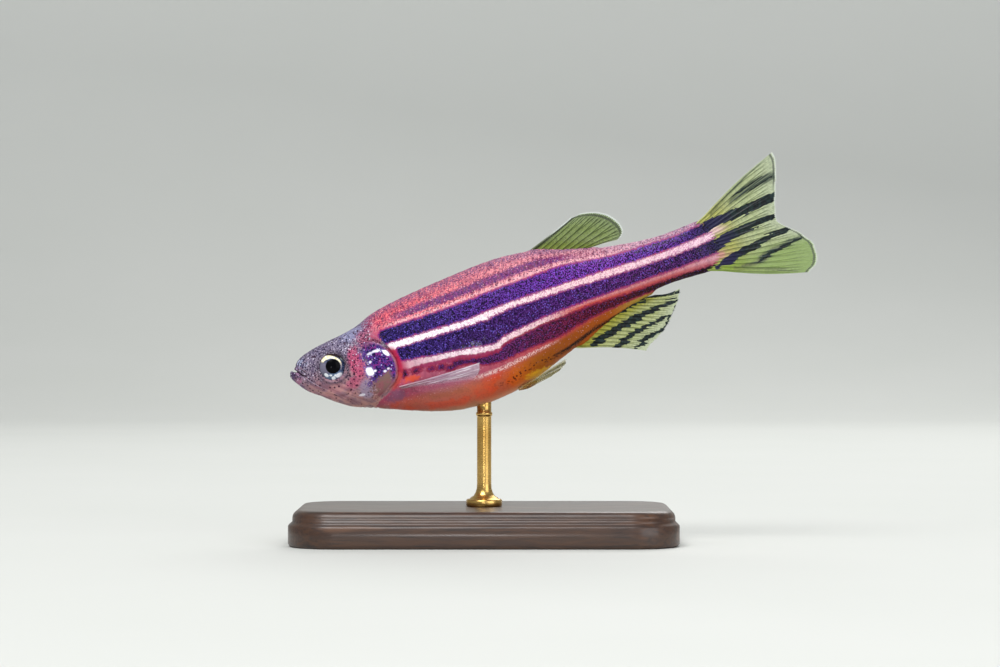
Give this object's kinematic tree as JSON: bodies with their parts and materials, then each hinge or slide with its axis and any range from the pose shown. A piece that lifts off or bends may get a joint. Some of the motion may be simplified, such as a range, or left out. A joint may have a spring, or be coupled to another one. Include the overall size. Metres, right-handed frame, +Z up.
{
  "type": "zebra danio museum model",
  "caption": "Life-size still model of a striped zebra danio in its pink and violet form, swimming head down, held by a brass rod on a flat wooden display base.",
  "frame": {"origin": "the middle of the stand base's underside", "axes": "+Z up, +X from the fish's head to its tail, -Y towards the fish's left side"},
  "size_m": [0.044, 0.018, 0.0325],
  "materials": {
    "head_skin": "grey-lilac, glossy, finely speckled",
    "gill_skin": "violet with white spots, glossy",
    "trunk_skin": "dark violet and white stripes over pink and orange, glossy, fine scales",
    "fin": "yellow-green and translucent, with dark stripes",
    "pale_fin": "pale and translucent",
    "eye": "very glossy, dark with a cream and blue iris",
    "base_wood": "dark stained hardwood, satin lacquer",
    "rod_brass": "turned and polished"
  },
  "bodies": {
    "root": {"head": "head_skin", "gill_cover_left": "gill_skin", "gill_cover_right": "gill_skin", "trunk": "trunk_skin", "tail_stalk": "trunk_skin", "dorsal_fin": "fin", "anal_fin": "fin", "tail_fin": "fin", "pectoral_fin_left": "pale_fin", "pectoral_fin_right": "pale_fin", "pelvic_fin_left": "pale_fin", "pelvic_fin_right": "pale_fin", "eye_left": "eye", "eye_right": "eye", "stand_base": "base_wood", "stand_rod": "rod_brass"}
  },
  "joints": []
}
